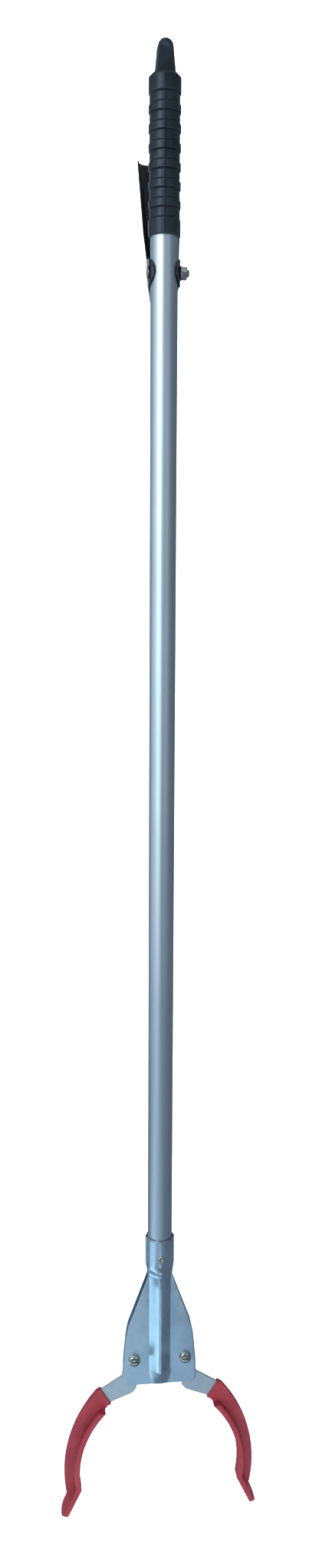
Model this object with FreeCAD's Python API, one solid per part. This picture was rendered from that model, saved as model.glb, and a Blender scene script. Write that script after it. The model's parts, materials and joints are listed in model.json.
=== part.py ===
import FreeCAD, Part
import math
import os

# Reacher grabber: a ribbed grip and squeeze lever at the top of an aluminium tube, and a pair of
# rubber-covered steel jaws at the bottom. Squeezing the lever lifts a rod inside the tube, and the
# rod's crossbar turns both jaws shut. Millimetres, +Z up along the tube, +Y to the lever's side.
# The origin is the centre of the hanging hole, and every z below is measured from it.

V = FreeCAD.Vector
X_AXIS = V(1, 0, 0)
Y_AXIS = V(0, 1, 0)
Z_AXIS = V(0, 0, 1)

# ---------------------------------------------------------------- driving dimensions
TUBE_R = 9.5
TUBE_WALL = 1.0
TUBE_TOP = -17.0
TUBE_END = -882.0

GRIP_END = -116.0
GRIP_SHOULDER = -13.5
GRIP_RAISED_R = 11.15
GRIP_RECESS_R = 10.4
GROOVE_COUNT = 7
GROOVE_TOP = -26.3
GROOVE_HEIGHT = 6.4
GROOVE_PITCH = 12.05
TAB_TOP = 7.6
TAB_BASE_WIDTH = 14.0
TAB_TOP_WIDTH = 10.6
TAB_DEPTH = 10.0
HANG_HOLE_R = 2.75

LEVER_PIVOT_Z = -138.9
LEVER_SHEET = 0.9
EAR_HALF_WIDTH = 11.1
EAR_LOBE_R = 9.2
EAR_LOBE_Y = 1.6
EAR_WRAP_X = 7.2
LEVER_OPEN_DEG = 20.0
LEVER_SQUEEZE_DEG = 19.6
WEB_DISTANCE = 12.8
TAIL_WEB_Y = 11.4
TAIL_BOTTOM = -17.5
LEVER_TOP = 82.5
TROUGH_DEPTH = 8.6
HOOK_DROP = 10.5
BOLT_R = 2.5
BOLT_FIT = 0.06

ROD_R = 1.5
ROD_BEND_R = 4.0
ROD_TRAVEL = 4.31
GUIDE_TOP = -790.0
GUIDE_LENGTH = 12.0
SPRING_LENGTH = 40.0
SPRING_COIL_R = 3.6
SPRING_WIRE_R = 0.5
SPRING_TURNS = 10
CLIP_THICKNESS = 1.0

COLLAR_TOP = -857.7
COLLAR_BOTTOM = -881.0
WAIST_Z = -892.0
PLATE_BOTTOM = -986.0
PLATE_SHEET = 1.0
PLATE_INNER_Y = 2.9
RIDGE_HALF_WIDTH = 8.2
RIDGE_Y = 11.4
RIDGE_END = -972.0
RIDGE_NOSE_HALF_WIDTH = 6.6
RIVET_Z = -873.2
RIVET_SHANK_R = 1.6

JAW_PIVOT_X = 20.5
JAW_PIVOT_Z = -963.6
JAW_STEEL = 2.0
JAW_COAT = 1.2
JAW_FLANGE_Y = -9.0
PAD_HALF_DEPTH = 9.0
PAD_LENGTH = 30.0
PAD_FLARE_DEG = 25.4
BUSH_R = 3.5
BUSH_FIT = 0.06
PIN_X = 12.4
PIN_R = 1.5
ARM_REST_DEG = 14.9


# ---------------------------------------------------------------- helpers
def cylinder(radius, start, end):
    """A round bar between two points."""
    axis = end.sub(start)
    return Part.makeCylinder(radius, axis.Length, start, axis)


def ring(outer_r, inner_r, start, end):
    """A round tube between two points."""
    return cylinder(outer_r, start, end).cut(cylinder(inner_r, start, end))


def box(low, high):
    return Part.makeBox(high[0] - low[0], high[1] - low[1], high[2] - low[2], V(*low))


def polygon_face(points):
    return Part.Face(Part.makePolygon(points + [points[0]]))


def arc(start, middle, end):
    return Part.Arc(start, middle, end).toShape()


def line(start, end):
    return Part.makeLine(start, end)


def hexagon(across_flats, start, end):
    """A hexagonal prism along X or Y, with two flats level."""
    axis = end.sub(start)
    radius = across_flats / math.sqrt(3)
    side = Z_AXIS.cross(axis)
    side.normalize()
    points = []
    for index in range(6):
        angle = math.radians(60 * index)
        points.append(start + side * (radius * math.cos(angle)) + Z_AXIS * (radius * math.sin(angle)))
    return polygon_face(points).extrude(axis)


def phillips_recess(depth, width, face, inward):
    """A cross-shaped driver recess, sunk from the face point along the inward direction."""
    side = Z_AXIS.cross(inward)
    slots = []
    for across, along in ((side, Z_AXIS), (Z_AXIS, side)):
        corners = []
        for a, b in ((-1, -1), (1, -1), (1, 1), (-1, 1)):
            corners.append(face + across * (a * width / 2) + along * (b * 0.5))
        slots.append(polygon_face(corners).extrude(inward * depth))
    return slots[0].fuse(slots[1])


def pan_head(radius, height, seat, outward):
    """A pan head with a crowned top, standing on its seat point."""
    rim = cylinder(radius, seat, seat + outward * (height * 0.55))
    crown = Part.makeCone(radius, radius * 0.62, height * 0.45, seat + outward * (height * 0.55), outward)
    head = rim.fuse(crown)
    return head.cut(phillips_recess(height * 0.6, radius * 1.1, seat + outward * height, outward * -1))


# ---------------------------------------------------------------- handle
def make_tube():
    tube = ring(TUBE_R, TUBE_R - TUBE_WALL, V(0, 0, TUBE_END), V(0, 0, TUBE_TOP))
    bolt_holes = cylinder(BOLT_R + BOLT_FIT, V(-12, 0, LEVER_PIVOT_Z), V(12, 0, LEVER_PIVOT_Z))
    hook_z = LEVER_PIVOT_Z - HOOK_DROP
    slot = box((-2.2, 4.0, hook_z - 3.0), (2.2, 12.0, hook_z + ROD_TRAVEL + 3.0))
    rivet_holes = cylinder(RIVET_SHANK_R, V(0, -12, RIVET_Z), V(0, 12, RIVET_Z))
    return tube.cut(bolt_holes).cut(slot).cut(rivet_holes)


def make_grip():
    """Ribbed sleeve with a closed, chamfered top that carries the hanging tab."""
    body = cylinder(GRIP_RAISED_R, V(0, 0, GRIP_END), V(0, 0, GRIP_SHOULDER - 2.5))
    shoulder = Part.makeCone(GRIP_RAISED_R, GRIP_RAISED_R - 2.5, 2.5, V(0, 0, GRIP_SHOULDER - 2.5), Z_AXIS)
    grip = body.fuse(shoulder)
    for index in range(GROOVE_COUNT):
        top = GROOVE_TOP - index * GROOVE_PITCH
        grip = grip.cut(ring(GRIP_RAISED_R + 1, GRIP_RECESS_R, V(0, 0, top - GROOVE_HEIGHT), V(0, 0, top)))
    top_r = TAB_TOP_WIDTH / 2
    arc_z = TAB_TOP - top_r
    base = TAB_BASE_WIDTH / 2
    low = GRIP_SHOULDER - 1.5
    edges = [
        line(V(-base, 0, low), V(base, 0, low)),
        line(V(base, 0, low), V(top_r, 0, arc_z)),
        arc(V(top_r, 0, arc_z), V(0, 0, TAB_TOP), V(-top_r, 0, arc_z)),
        line(V(-top_r, 0, arc_z), V(-base, 0, low)),
    ]
    tab = Part.Face(Part.Wire(edges)).extrude(V(0, TAB_DEPTH, 0))
    tab.translate(V(0, -TAB_DEPTH / 2, 0))
    hole = cylinder(HANG_HOLE_R, V(-12, 0, 0), V(12, 0, 0))
    bore = cylinder(TUBE_R, V(0, 0, GRIP_END - 1), V(0, 0, TUBE_TOP))
    return grip.fuse(tab).cut(hole).cut(bore).removeSplitter()


def web_line_y(distance, z):
    """Depth of the sloping web at height z above the pivot, for a web this far from the pivot."""
    slope = math.radians(LEVER_OPEN_DEG)
    return (distance + z * math.sin(slope)) / math.cos(slope)


def web_bend_z(distance, tail_y):
    """Height at which the sloping web meets the upright tail."""
    slope = math.radians(LEVER_OPEN_DEG)
    return (tail_y * math.cos(slope) - distance) / math.sin(slope)


def lever_section(half_width, back_y, corner, z):
    """Level section of the trough: square at the front, rounded at the two back corners."""
    front_y = -20.0
    level = LEVER_PIVOT_Z + z
    bend = corner * (1 - math.cos(math.radians(45)))
    side_y = back_y - corner
    back_x = half_width - corner
    turn_x = half_width - bend
    turn_y = back_y - bend
    return Part.Wire([
        line(V(-half_width, front_y, level), V(-half_width, side_y, level)),
        arc(V(-half_width, side_y, level), V(-turn_x, turn_y, level), V(-back_x, back_y, level)),
        line(V(-back_x, back_y, level), V(back_x, back_y, level)),
        arc(V(back_x, back_y, level), V(turn_x, turn_y, level), V(half_width, side_y, level)),
        line(V(half_width, side_y, level), V(half_width, front_y, level)),
        line(V(half_width, front_y, level), V(-half_width, front_y, level)),
    ])


def lever_block(inset, low, high):
    """The trough as a solid block, widening from tail to top, drawn in by inset on three sides."""
    distance = WEB_DISTANCE - inset
    tail_y = TAIL_WEB_Y - inset
    bend_z = web_bend_z(distance, tail_y)
    stations = [
        (low, 9.0, 4.0),
        (-12.0, 9.8, 4.0),
        (-9.0, 10.6, 4.0),
        (bend_z, 10.9, 4.0),
        (0.0, EAR_HALF_WIDTH, 5.0),
        (8.0, EAR_HALF_WIDTH, 6.5),
        (13.0, 11.5, 7.5),
        (21.0, 12.1, 7.5),
        (29.0, 12.8, 7.5),
        (55.0, 13.9, 7.5),
        (high, 15.0, 7.5),
    ]
    sections = []
    for z, half_width, corner in stations:
        back_y = tail_y if z <= bend_z else web_line_y(distance, z)
        sections.append(lever_section(half_width - inset, back_y, corner - inset, z))
    return Part.makeLoft(sections, True, True)


def lever_outline():
    """The lever's side view: upright tail, ear lobe, free edges and a level top."""
    top_y = web_line_y(WEB_DISTANCE, LEVER_TOP) - TROUGH_DEPTH
    low_y = web_line_y(WEB_DISTANCE, EAR_LOBE_R + 1.3) - TROUGH_DEPTH
    lobe_top = (3.0, math.sqrt(EAR_LOBE_R ** 2 - (3.0 - EAR_LOBE_Y) ** 2))
    stops = [
        (4.8, -11.5),
        (6.5, TAIL_BOTTOM),
        (60.0, TAIL_BOTTOM),
        (60.0, LEVER_TOP - 1.8),
        (top_y, LEVER_TOP),
        (low_y, EAR_LOBE_R + 1.3),
        lobe_top,
    ]
    points = [V(-20, y, z + LEVER_PIVOT_Z) for y, z in stops]
    lobe_low = V(-20, lobe_top[0], LEVER_PIVOT_Z - lobe_top[1])
    edges = [line(points[i], points[i + 1]) for i in range(len(points) - 1)]
    edges.append(arc(points[-1], V(-20, EAR_LOBE_Y - EAR_LOBE_R, LEVER_PIVOT_Z), lobe_low))
    edges.append(line(lobe_low, points[0]))
    return Part.Face(Part.Wire(edges)).extrude(V(40, 0, 0))


def make_lever():
    """Pressed steel trough: two ears curled round the tube on the pivot bolt, a tail and a long handle."""
    pivot_low = V(-20, 0, LEVER_PIVOT_Z)
    pivot_high = V(20, 0, LEVER_PIVOT_Z)
    block = lever_block(0.0, TAIL_BOTTOM - 1.0, LEVER_TOP + 1.0)
    trough = block.cut(lever_block(LEVER_SHEET, TAIL_BOTTOM - 3.0, LEVER_TOP + 3.0)).common(lever_outline())
    lever = trough.common(box((-20, 0, LEVER_PIVOT_Z - 30), (20, 60, LEVER_PIVOT_Z + 95)))
    ear_low = V(0, 0, LEVER_PIVOT_Z - EAR_LOBE_R)
    ear_high = V(0, 0, LEVER_PIVOT_Z + EAR_LOBE_R)
    wrap = ring(EAR_HALF_WIDTH, EAR_HALF_WIDTH - LEVER_SHEET, ear_low, ear_high)
    lobe_axis = V(0, EAR_LOBE_Y, 0)
    wrap = wrap.common(cylinder(EAR_LOBE_R, pivot_low + lobe_axis, pivot_high + lobe_axis))
    for side in (-1, 1):
        near = min(side * EAR_WRAP_X, side * 20)
        reach = box((near, -12, ear_low.z), (near + 20 - EAR_WRAP_X, 0, ear_high.z))
        lever = lever.fuse(wrap.common(reach))
    swept_tube = cylinder(TUBE_R + 0.25, V(0, 0, LEVER_PIVOT_Z - 30), V(0, 0, LEVER_PIVOT_Z + 60))
    swept_tube.rotate(V(0, 0, LEVER_PIVOT_Z), X_AXIS, -LEVER_SQUEEZE_DEG)
    lever = lever.cut(swept_tube).cut(cylinder(BOLT_R + BOLT_FIT, pivot_low, pivot_high))
    hook_z = LEVER_PIVOT_Z - HOOK_DROP
    hook_hole = box((-2.2, 9.0, hook_z - 2.4), (2.2, 14.0, hook_z + 2.6))
    return lever.cut(hook_hole).removeSplitter()


def make_pivot_bolt():
    seat = -EAR_HALF_WIDTH - 0.1
    shank = cylinder(BOLT_R, V(seat, 0, LEVER_PIVOT_Z), V(16.5, 0, LEVER_PIVOT_Z))
    tip = Part.makeCone(BOLT_R, BOLT_R - 0.8, 0.8, V(16.5, 0, LEVER_PIVOT_Z), X_AXIS)
    rim = cylinder(4.5, V(seat - 0.4, 0, LEVER_PIVOT_Z), V(seat, 0, LEVER_PIVOT_Z))
    dome = Part.makeCone(4.5, 2.4, 0.9, V(seat - 0.4, 0, LEVER_PIVOT_Z), X_AXIS * -1)
    return shank.fuse(tip).fuse(rim).fuse(dome)


def make_pivot_washer():
    start = EAR_HALF_WIDTH + 0.1
    return ring(4.9, BOLT_R, V(start, 0, LEVER_PIVOT_Z), V(start + 0.5, 0, LEVER_PIVOT_Z))


def make_pivot_nut():
    start = V(EAR_HALF_WIDTH + 0.6, 0, LEVER_PIVOT_Z)
    end = start + X_AXIS * 4.0
    return hexagon(8.0, start, end).cut(cylinder(BOLT_R, start, end))


# ---------------------------------------------------------------- pull rod and return spring
def crossbar_z():
    """Height of the crossbar's pins with the jaws open."""
    return JAW_PIVOT_Z - (JAW_PIVOT_X - PIN_X) * math.tan(math.radians(ARM_REST_DEG))


def make_pull_rod():
    """Round rod: its top end is bent back through the tube's slot, its bottom end is a flat eye."""
    hook_z = LEVER_PIVOT_Z - HOOK_DROP
    bend_z = hook_z - ROD_BEND_R
    eye_z = crossbar_z()
    eye_r = 3.6
    straight = cylinder(ROD_R, V(0, 0, eye_z + 3.0), V(0, 0, bend_z))
    hook = cylinder(ROD_R, V(0, ROD_BEND_R, hook_z), V(0, 17.5, hook_z))
    section = Part.Face(Part.Wire(Part.makeCircle(ROD_R, V(0, 0, bend_z), Z_AXIS)))
    bend = section.revolve(V(0, ROD_BEND_R, bend_z), X_AXIS, -90)
    rod = straight.fuse(bend).fuse(hook)
    eye = cylinder(eye_r, V(0, -1, eye_z), V(0, 1, eye_z))
    neck = box((-ROD_R, -1, eye_z), (ROD_R, 1, eye_z + eye_r + 2))
    rod = rod.fuse(eye.fuse(neck))
    return rod.cut(cylinder(PIN_R + 0.05, V(0, -3, eye_z), V(0, 3, eye_z)))


def make_rod_guide():
    return ring(TUBE_R - TUBE_WALL, ROD_R + 0.3, V(0, 0, GUIDE_TOP - GUIDE_LENGTH), V(0, 0, GUIDE_TOP))


def make_return_spring():
    """Compression spring with open turns, from the guide down to the washer on the rod."""
    top = GUIDE_TOP - GUIDE_LENGTH - SPRING_WIRE_R
    height = SPRING_LENGTH - 2 * SPRING_WIRE_R
    helix = Part.makeHelix(height / SPRING_TURNS, height, SPRING_COIL_R)
    section = Part.Wire(Part.makeCircle(SPRING_WIRE_R, V(SPRING_COIL_R, 0, 0), Y_AXIS))
    spring = Part.Wire(helix).makePipeShell([section], True, True)
    spring.translate(V(0, 0, top - height))
    return spring


def make_spring_washer():
    top = GUIDE_TOP - GUIDE_LENGTH - SPRING_LENGTH
    return ring(5.2, ROD_R, V(0, 0, top - CLIP_THICKNESS), V(0, 0, top))


def make_rod_clip():
    """Snap-on clip under the washer, open at one side."""
    top = GUIDE_TOP - GUIDE_LENGTH - SPRING_LENGTH - CLIP_THICKNESS
    clip = ring(3.6, ROD_R, V(0, 0, top - CLIP_THICKNESS), V(0, 0, top))
    return clip.cut(box((0, -0.9, top - 2), (5, 0.9, top + 1)))


# ---------------------------------------------------------------- head

def ridge_section(half_width, side_y, crest_y, z):
    start = V(-half_width, side_y, z)
    end = V(half_width, side_y, z)
    return Part.Wire([arc(start, V(0, crest_y, z), end), line(end, start)])


def make_front_plate():
    """Pressed plate: a half collar round the tube, a waist, and a flared face with a hollow ridge."""
    collar_r = TUBE_R + PLATE_SHEET + 0.2
    outer_y = -PLATE_INNER_Y - PLATE_SHEET
    half_collar = cylinder(collar_r, V(0, 0, COLLAR_BOTTOM), V(0, 0, COLLAR_TOP))
    half_collar = half_collar.common(box((-20, -20, COLLAR_BOTTOM), (20, 0, COLLAR_TOP)))
    lips = box((-11.4, -1.2, COLLAR_BOTTOM), (11.4, 0, COLLAR_TOP))
    neck = Part.makeLoft([
        ridge_section(collar_r, 0, -collar_r, COLLAR_BOTTOM),
        ridge_section(RIDGE_HALF_WIDTH + 0.8, outer_y + 0.4, -RIDGE_Y, WAIST_Z),
    ], True, True)
    ridge = Part.makeLoft([
        ridge_section(RIDGE_HALF_WIDTH + 0.8, outer_y + 0.4, -RIDGE_Y, WAIST_Z),
        ridge_section(RIDGE_HALF_WIDTH, outer_y + 0.4, -RIDGE_Y - 0.4, RIDGE_END),
        ridge_section(RIDGE_NOSE_HALF_WIDTH, outer_y + 0.4, outer_y - 0.6, PLATE_BOTTOM),
    ], True, True)
    corner_r = 5.0
    outline = [
        (9.4, WAIST_Z + 4),
        (9.6, WAIST_Z),
        (25.2, -933.5),
        (27.0, -943.0),
        (29.2, -967.0),
        (29.2, PLATE_BOTTOM + corner_r),
    ]
    bottom_x = outline[-1][0] - corner_r
    points = [V(x, outer_y, z) for x, z in outline]
    left = [V(-p.x, p.y, p.z) for p in points]
    bend = corner_r * (1 - math.cos(math.radians(45)))
    edges = [line(points[i], points[i + 1]) for i in range(len(points) - 1)]
    right_low = V(bottom_x, outer_y, PLATE_BOTTOM)
    left_low = V(-bottom_x, outer_y, PLATE_BOTTOM)
    edges.append(arc(points[-1], V(points[-1].x - bend, outer_y, PLATE_BOTTOM + bend), right_low))
    edges.append(line(right_low, left_low))
    edges.append(arc(left_low, V(left[-1].x + bend, outer_y, PLATE_BOTTOM + bend), left[-1]))
    edges += [line(left[i + 1], left[i]) for i in range(len(left) - 2, -1, -1)]
    edges.append(line(left[0], points[0]))
    face = Part.Face(Part.Wire(edges)).extrude(V(0, PLATE_SHEET, 0))
    wings = []
    for side in (-1, 1):
        top = [V(side * 9.0, -1.2, COLLAR_BOTTOM), V(side * 11.4, -1.2, COLLAR_BOTTOM),
               V(side * 11.4, 0, COLLAR_BOTTOM), V(side * 9.0, 0, COLLAR_BOTTOM)]
        low = [V(side * 8.0, outer_y, WAIST_Z), V(side * 9.6, outer_y, WAIST_Z),
               V(side * 9.6, outer_y + PLATE_SHEET, WAIST_Z), V(side * 8.0, outer_y + PLATE_SHEET, WAIST_Z)]
        outlines = [Part.makePolygon(top + top[:1]), Part.makePolygon(low + low[:1])]
        wings.append(Part.makeLoft(outlines, True, True))
    plate = half_collar.fuse(lips).fuse(neck).fuse(ridge).fuse(face).fuse(wings[0]).fuse(wings[1])

    inner = PLATE_SHEET + 0.1
    bore = cylinder(TUBE_R, V(0, 0, COLLAR_BOTTOM - 1.0), V(0, 0, COLLAR_TOP + 1))
    neck_hollow = Part.makeLoft([
        ridge_section(TUBE_R, 0.2, -TUBE_R, COLLAR_BOTTOM - 1.0),
        ridge_section(RIDGE_HALF_WIDTH + 0.8 - inner, 0.2, -RIDGE_Y + inner, WAIST_Z),
    ], True, True)
    ridge_hollow = Part.makeLoft([
        ridge_section(RIDGE_HALF_WIDTH + 0.8 - inner, 0.2, -RIDGE_Y + inner, WAIST_Z),
        ridge_section(RIDGE_HALF_WIDTH - inner, 0.2, -RIDGE_Y - 0.4 + inner, RIDGE_END),
        ridge_section(RIDGE_NOSE_HALF_WIDTH - inner, 0.2, outer_y - 0.6 + inner, PLATE_BOTTOM),
    ], True, True)
    plate = plate.cut(bore).cut(neck_hollow).cut(ridge_hollow)
    for side in (-1, 1):
        x = side * JAW_PIVOT_X
        plate = plate.cut(cylinder(BOLT_R, V(x, -20, JAW_PIVOT_Z), V(x, 0, JAW_PIVOT_Z)))
    return plate.cut(cylinder(RIVET_SHANK_R, V(0, -20, RIVET_Z), V(0, 0, RIVET_Z)))


def make_rivet(outward):
    """Blind rivet through collar and tube wall: domed head outside, swollen tail inside."""
    seat = outward * (TUBE_R + PLATE_SHEET + 0.2) + V(0, 0, RIVET_Z)
    inside = outward * 8.1 + V(0, 0, RIVET_Z)
    shank = cylinder(RIVET_SHANK_R, inside - outward * 1.6, seat)
    head = Part.makeCone(3.15, 1.9, 1.5, seat, outward)
    seat_disc = cylinder(3.15, seat - outward * 0.2, seat)
    keep_out = cylinder(TUBE_R + PLATE_SHEET + 0.2, V(0, 0, COLLAR_BOTTOM), V(0, 0, COLLAR_TOP))
    tail = cylinder(2.4, inside - outward * 1.6, inside)
    return shank.fuse(head).fuse(seat_disc.cut(keep_out)).fuse(tail)


# ---------------------------------------------------------------- jaws
# A jaw is drawn beside its pivot: u runs outward, w runs down.
OUTER_ARC_CENTRE = (-53.1, 98.4)
OUTER_ARC_R = 109.9
INNER_ARC_CENTRE = (-33.3, 96.2)
INNER_ARC_R = 77.6
PAD_BEND = (43.0, 110.6)


def jaw_point(u, w, y=0.0):
    return V(JAW_PIVOT_X + u, y, JAW_PIVOT_Z - w)


def on_arc(centre, radius, w):
    """The outward point of an arc at depth w below the pivot."""
    return (centre[0] + math.sqrt(radius ** 2 - (w - centre[1]) ** 2), w)


def arc_between(centre, radius, w_start, w_end, y):
    stops = [on_arc(centre, radius, w) for w in (w_start, (w_start + w_end) / 2, w_end)]
    return arc(*[jaw_point(u, w, y) for u, w in stops])


def jaw_web(outer_r, inner_r, start, end, lead, y_low, y_high):
    """The curved flat of a jaw between two arcs, with lead points joining their upper ends."""
    outer = arc_between(OUTER_ARC_CENTRE, outer_r, start[0], end[0], y_low)
    inner = arc_between(INNER_ARC_CENTRE, inner_r, end[1], start[1], y_low)
    outer_top = jaw_point(*on_arc(OUTER_ARC_CENTRE, outer_r, start[0]), y_low)
    outer_low = jaw_point(*on_arc(OUTER_ARC_CENTRE, outer_r, end[0]), y_low)
    inner_low = jaw_point(*on_arc(INNER_ARC_CENTRE, inner_r, end[1]), y_low)
    inner_top = jaw_point(*on_arc(INNER_ARC_CENTRE, inner_r, start[1]), y_low)
    stops = [inner_top] + [jaw_point(u, w, y_low) for u, w in lead] + [outer_top]
    edges = [line(stops[i], stops[i + 1]) for i in range(len(stops) - 1)]
    edges += [outer, line(outer_low, inner_low), inner]
    return Part.Face(Part.Wire(edges)).extrude(V(0, y_high - y_low, 0))


def jaw_flange(inner_r, thickness, w_start, w_end, y_low, y_high):
    """The gripping wall along the inner edge, square to the flat."""
    near = arc_between(INNER_ARC_CENTRE, inner_r, w_start, w_end, y_low)
    far_r = inner_r + thickness
    far = arc_between(INNER_ARC_CENTRE, far_r, w_end, w_start, y_low)
    start_near = jaw_point(*on_arc(INNER_ARC_CENTRE, inner_r, w_start), y_low)
    end_near = jaw_point(*on_arc(INNER_ARC_CENTRE, inner_r, w_end), y_low)
    start_far = jaw_point(*on_arc(INNER_ARC_CENTRE, far_r, w_start), y_low)
    end_far = jaw_point(*on_arc(INNER_ARC_CENTRE, far_r, w_end), y_low)
    wire = Part.Wire([near, line(end_near, end_far), far, line(start_far, start_near)])
    return Part.Face(wire).extrude(V(0, y_high - y_low, 0))


def jaw_pad(inset, thickness):
    """The out-turned paddle at the tip, rounded at its far corners."""
    flare = math.radians(PAD_FLARE_DEG)
    along = V(math.sin(flare), 0, -math.cos(flare))
    across = V(math.cos(flare), 0, math.sin(flare))
    root = jaw_point(*PAD_BEND) + across * inset
    half = PAD_HALF_DEPTH - inset
    length = PAD_LENGTH - inset
    corner = 7.5 - inset
    bend = corner * (1 - math.cos(math.radians(45)))
    front = JAW_FLANGE_Y + inset
    back = JAW_STEEL / 2 + JAW_COAT - inset

    def at(s, y):
        return root + along * s + Y_AXIS * y

    edges = [
        line(at(0, back), at(0, front)),
        line(at(0, front), at(length - corner, front)),
        arc(at(length - corner, front), at(length - bend, front + bend), at(length, front + corner)),
        line(at(length, front + corner), at(length, half - corner)),
        arc(at(length, half - corner), at(length - bend, half - bend), at(length - corner, half)),
        line(at(length - corner, half), at(11.0, half)),
        line(at(11.0, half), at(3.0, back)),
        line(at(3.0, back), at(0, back)),
    ]
    return Part.Face(Part.Wire(edges)).extrude(across * thickness)


def jaw_core():
    """The steel jaw: pivot eye, slotted inner arm, elbow, curved flat, flange and paddle."""
    half = JAW_STEEL / 2
    elbow = [(19.0, 38.1), (1.2, 31.0), (-2.0, 27.0), (-7.0, 4.0), (7.0, -4.0), (9.8, 15.5), (26.3, 26.1)]
    web = jaw_web(OUTER_ARC_R - JAW_COAT, INNER_ARC_R + JAW_COAT, (32.0, 43.0), (118.0, 111.0),
                  elbow, -half, half)
    eye = cylinder(8.0, jaw_point(0, 0, -half), jaw_point(0, 0, half))
    steel_thick = JAW_STEEL
    flange = jaw_flange(INNER_ARC_R + JAW_COAT, steel_thick, 44.5, 111.0, JAW_FLANGE_Y + JAW_COAT, half)
    pad = jaw_pad(JAW_COAT, steel_thick)
    reach = 12.4
    arm_half = 4.6
    tilt = math.radians(ARM_REST_DEG)
    inward = V(-math.cos(tilt), 0, -math.sin(tilt))
    upward = V(-math.sin(tilt), 0, math.cos(tilt))
    pivot = jaw_point(0, 0, -half)
    corners = [pivot + upward * arm_half, pivot + upward * arm_half + inward * (reach - arm_half),
               pivot - upward * arm_half + inward * (reach - arm_half), pivot - upward * arm_half]
    arm = polygon_face(corners).extrude(V(0, JAW_STEEL, 0))
    arm_end = Part.makeCylinder(arm_half, JAW_STEEL, pivot + inward * (reach - arm_half), Y_AXIS)
    core = web.fuse(eye).fuse(flange).fuse(pad).fuse(arm).fuse(arm_end)
    slot_half = PIN_R + 0.3
    slot_centre = pivot + inward * 8.25
    slot_ends = []
    for shift in (-0.9, 0.9):
        slot_ends.append(slot_centre + inward * shift)
    slot = polygon_face([slot_ends[0] + upward * slot_half, slot_ends[1] + upward * slot_half,
                         slot_ends[1] - upward * slot_half, slot_ends[0] - upward * slot_half])
    core = core.cut(slot.extrude(V(0, JAW_STEEL, 0)))
    for end in slot_ends:
        core = core.cut(Part.makeCylinder(slot_half, JAW_STEEL, end, Y_AXIS))
    hole = cylinder(BUSH_R + BUSH_FIT, jaw_point(0, 0, -half), jaw_point(0, 0, half))
    return core.cut(hole).removeSplitter()


def jaw_coat():
    """The outer shape of the dipped rubber cover."""
    half = JAW_STEEL / 2 + JAW_COAT
    thick = JAW_STEEL + 2 * JAW_COAT
    web = jaw_web(OUTER_ARC_R, INNER_ARC_R, (27.2, 41.0), (122.6, 110.6),
                  [(18.3, 39.2), (27.0, 25.0)], -half, half)
    flange = jaw_flange(INNER_ARC_R, thick, 42.5, 110.6, JAW_FLANGE_Y, half)
    pad = jaw_pad(0.0, thick)
    return web.fuse(flange).fuse(pad)


def make_jaw(side):
    """Arm and cover of one jaw in its open pose: side is 1 on the right and -1 on the left."""
    core = jaw_core()
    cover = jaw_coat().cut(core)
    if side > 0:
        return core, cover
    return core.mirror(V(0, 0, 0), X_AXIS), cover.mirror(V(0, 0, 0), X_AXIS)


def make_jaw_bush(x):
    start = V(x, -PLATE_INNER_Y, JAW_PIVOT_Z)
    end = V(x, PLATE_INNER_Y, JAW_PIVOT_Z)
    return ring(BUSH_R, BOLT_R, start, end)


def make_jaw_washers(x):
    washers = []
    for side in (-1, 1):
        start = V(x, side * PLATE_INNER_Y, JAW_PIVOT_Z)
        end = V(x, side * (JAW_STEEL / 2 + 0.2), JAW_PIVOT_Z)
        washers.append(ring(4.8, BUSH_R, start, end))
    return Part.makeCompound(washers)


def make_jaw_screw(x):
    outer_y = PLATE_INNER_Y + PLATE_SHEET
    seat = V(x, -outer_y, JAW_PIVOT_Z)
    shank = cylinder(BOLT_R, seat, V(x, outer_y + 5.4, JAW_PIVOT_Z))
    return shank.fuse(pan_head(4.75, 3.2, seat, Y_AXIS * -1))


def make_jaw_nut(x):
    start = V(x, PLATE_INNER_Y + PLATE_SHEET, JAW_PIVOT_Z)
    end = start + Y_AXIS * 4.0
    return hexagon(8.0, start, end).cut(cylinder(BOLT_R, start, end))


# ---------------------------------------------------------------- crossbar
def make_crossbar_plate(side):
    """One of the two flat bars that carry the rod pin and the jaw pins."""
    near = side * 1.3
    far = side * 2.5
    z = crossbar_z()
    half = 2.8
    low_y = min(near, far)
    bar = box((-PIN_X, low_y, z - half), (PIN_X, low_y + 1.2, z + half))
    for x in (-PIN_X, PIN_X):
        bar = bar.fuse(cylinder(half, V(x, low_y, z), V(x, low_y + 1.2, z)))
    for x in (-PIN_X, 0, PIN_X):
        bar = bar.cut(cylinder(PIN_R, V(x, -4, z), V(x, 4, z)))
    return bar.removeSplitter()


def make_pin(x):
    z = crossbar_z()
    return cylinder(PIN_R, V(x, -2.6, z), V(x, 2.6, z))


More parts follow.
